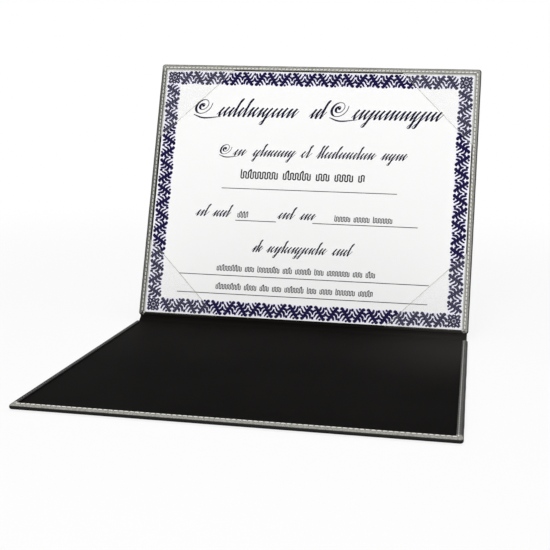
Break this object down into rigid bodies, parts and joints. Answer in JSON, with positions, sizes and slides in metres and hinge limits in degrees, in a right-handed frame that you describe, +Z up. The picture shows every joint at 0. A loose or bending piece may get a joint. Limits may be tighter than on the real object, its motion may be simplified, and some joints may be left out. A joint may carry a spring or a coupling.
{
  "type": "diploma cover",
  "caption": "Padded leatherette diploma cover that stands open: a flat lower cover, a folding spine and a leaning upper cover with a certificate under clear corner pockets.",
  "frame": {"origin": "middle of the lower cover's flat padded underside, on the surface that the cover rests on", "axes": "+Z up, +X along the spine, -Y towards the free edge of the lower cover, so the upper cover rises at +Y"},
  "size_m": [0.264, 0.2863, 0.2067],
  "materials": {
    "leatherette": "dark grey-brown grained leatherette, satin",
    "foam": "thin foam padding, hidden",
    "greyboard": "plain greyboard, hidden",
    "black_lining": "smooth black lining paper, satin",
    "paper": "printed white certificate paper, matt",
    "clear_film": "clear glossy film"
  },
  "bodies": {
    "lower_cover": {"lower_leather": "leatherette", "lower_padding": "foam", "lower_board": "greyboard", "lower_lining": "black_lining"},
    "spine": {"spine_leather": "leatherette", "spine_lining": "leatherette"},
    "upper_cover": {"upper_leather": "leatherette", "upper_padding": "foam", "upper_board": "greyboard", "upper_lining": "black_lining", "certificate": "paper", "corner_pocket_top_left": "clear_film", "corner_pocket_top_right": "clear_film", "corner_pocket_bottom_left": "clear_film", "corner_pocket_bottom_right": "clear_film"}
  },
  "joints": [
    {"name": "lower_crease", "type": "hinge", "parent": "lower_cover", "child": "spine", "pos_m": [0, 0.10675, 0.001], "axis": [1, 0, 0], "range_deg": [-35.6, 54.4]},
    {"name": "upper_crease", "type": "hinge", "parent": "spine", "child": "upper_cover", "pos_m": [0, 0.1123, 0.00497], "axis": [1, 0, 0], "range_deg": [-40, 60]}
  ],
  "couplings": [
    {"joint": "upper_crease", "follows": "lower_crease", "ratio": 1}
  ]
}
